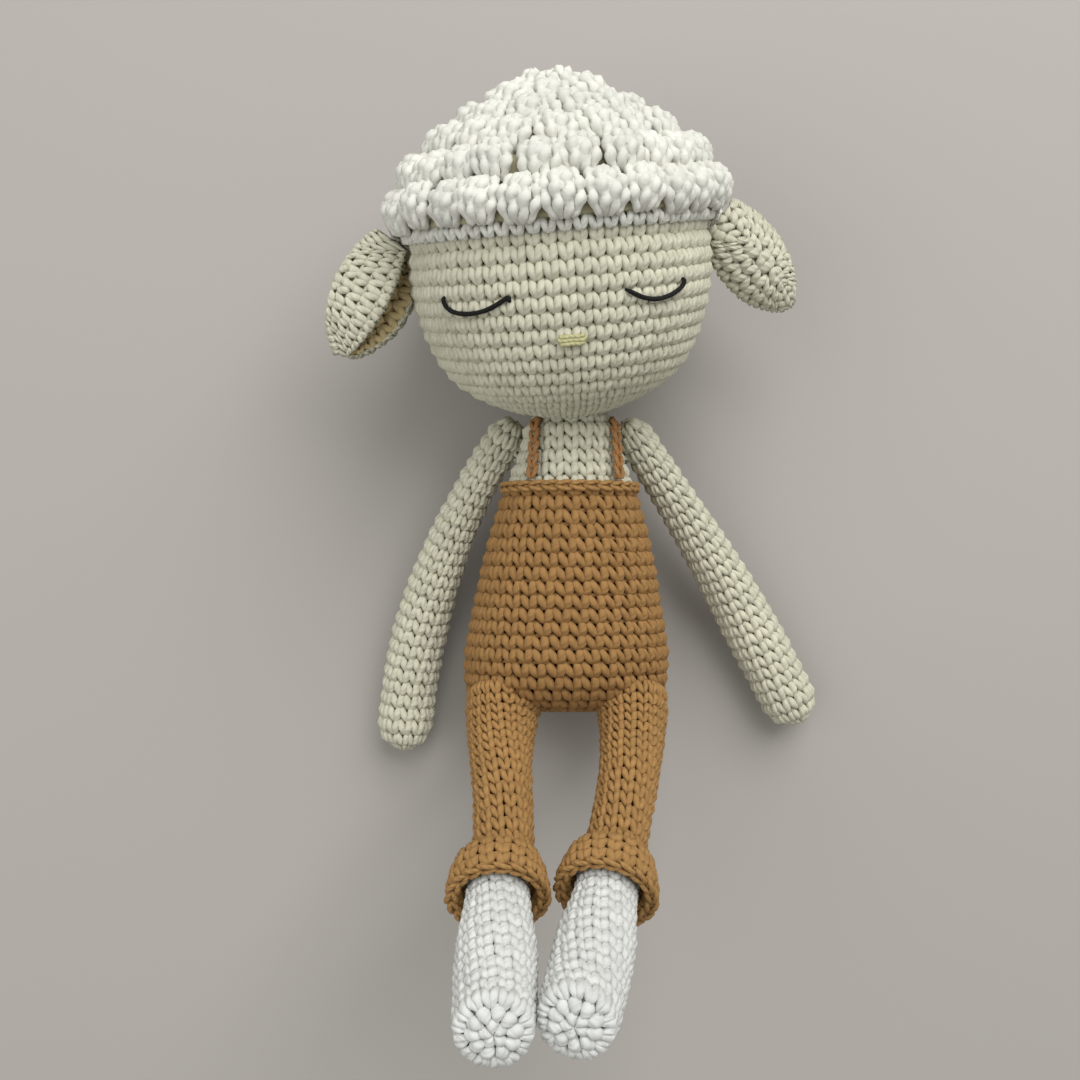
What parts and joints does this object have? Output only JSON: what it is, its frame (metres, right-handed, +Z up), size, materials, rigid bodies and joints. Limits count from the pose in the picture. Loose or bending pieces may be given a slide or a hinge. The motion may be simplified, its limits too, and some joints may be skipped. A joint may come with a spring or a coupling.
{
  "type": "crocheted toy sheep",
  "caption": "Crocheted toy sheep in overalls, with bobble-stitch hair, drooping ears, sewn-on arms and raised legs that fold at the hips.",
  "frame": {"origin": "middle of the small flat at the back of the hips, on which the toy lies", "axes": "+Y from the feet to the head along the surface it lies on, +Z up out of its belly, +X to the right as seen from its front"},
  "size_m": [0.1262, 0.2058, 0.1074],
  "materials": {
    "cream_yarn": "crocheted yarn",
    "hair_yarn": "crocheted yarn",
    "brown_yarn": "crocheted yarn",
    "white_yarn": "crocheted yarn",
    "eye_thread": "cotton thread",
    "nose_thread": "cotton thread",
    "stuffing": "polyester fibre"
  },
  "bodies": {
    "torso": {"overalls": "brown_yarn", "chest": "cream_yarn", "body_stuffing": "stuffing", "bib_edge": "brown_yarn", "strap_left": "brown_yarn", "strap_right": "brown_yarn"},
    "neck": {"head_seam": "cream_yarn"},
    "head": {"head": "cream_yarn", "head_stuffing": "stuffing", "hair_cap": "hair_yarn", "hair_edge": "hair_yarn", "eye_left": "eye_thread", "eye_right": "eye_thread", "nose": "nose_thread"},
    "left_ear": {"ear_left": "cream_yarn"},
    "right_ear": {"ear_right": "cream_yarn"},
    "left_shoulder": {"arm_left_seam": "cream_yarn"},
    "left_arm": {"arm_left": "cream_yarn", "arm_left_stuffing": "stuffing"},
    "right_shoulder": {"arm_right_seam": "cream_yarn"},
    "right_arm": {"arm_right": "cream_yarn", "arm_right_stuffing": "stuffing"},
    "left_leg": {"leg_left": "brown_yarn", "foot_left": "white_yarn", "leg_left_stuffing": "stuffing", "cuff_left": "brown_yarn"},
    "right_leg": {"leg_right": "brown_yarn", "foot_right": "white_yarn", "leg_right_stuffing": "stuffing", "cuff_right": "brown_yarn"}
  },
  "joints": [
    {"name": "neck_turn", "type": "hinge", "parent": "torso", "child": "neck", "pos_m": [0.00097, 0.06188, 0.03349], "axis": [-0.0806, 0.9603, 0.2672], "range_deg": [-45, 45]},
    {"name": "neck_nod", "type": "hinge", "parent": "neck", "child": "head", "pos_m": [0.00097, 0.06188, 0.03349], "axis": [0.9964, 0.0851, -0.005], "range_deg": [-20, 25]},
    {"name": "left_ear_flap", "type": "hinge", "parent": "head", "child": "left_ear", "pos_m": [-0.04152, 0.0994, 0.04934], "axis": [-0.0276, 0.2659, -0.9636], "range_deg": [-5, 45], "stiffness_Nm_per_rad": 0.0006},
    {"name": "right_ear_flap", "type": "hinge", "parent": "head", "child": "right_ear", "pos_m": [0.03606, 0.10596, 0.04886], "axis": [0.0276, -0.2659, 0.9636], "range_deg": [-5, 45], "stiffness_Nm_per_rad": 0.0006},
    {"name": "left_arm_spread", "type": "hinge", "parent": "torso", "child": "left_shoulder", "pos_m": [-0.01768, 0.05538, 0.02656], "axis": [0, 0, -1], "range_deg": [0, 60]},
    {"name": "left_arm_swing", "type": "hinge", "parent": "left_shoulder", "child": "left_arm", "pos_m": [-0.01768, 0.05538, 0.02656], "axis": [-1, 0, 0], "range_deg": [-20, 80]},
    {"name": "right_arm_spread", "type": "hinge", "parent": "torso", "child": "right_shoulder", "pos_m": [0.01942, 0.05538, 0.02656], "axis": [0, 0, 1], "range_deg": [0, 60]},
    {"name": "right_arm_swing", "type": "hinge", "parent": "right_shoulder", "child": "right_arm", "pos_m": [0.01942, 0.05538, 0.02656], "axis": [-1, 0, 0], "range_deg": [-20, 80]},
    {"name": "left_hip_fold", "type": "hinge", "parent": "torso", "child": "left_leg", "pos_m": [-0.0173, -0.01122, 0.0284], "axis": [-1, 0, 0], "range_deg": [-55, 35]},
    {"name": "right_hip_fold", "type": "hinge", "parent": "torso", "child": "right_leg", "pos_m": [0.0173, -0.01122, 0.0284], "axis": [-1, 0, 0], "range_deg": [-55, 35]}
  ]
}
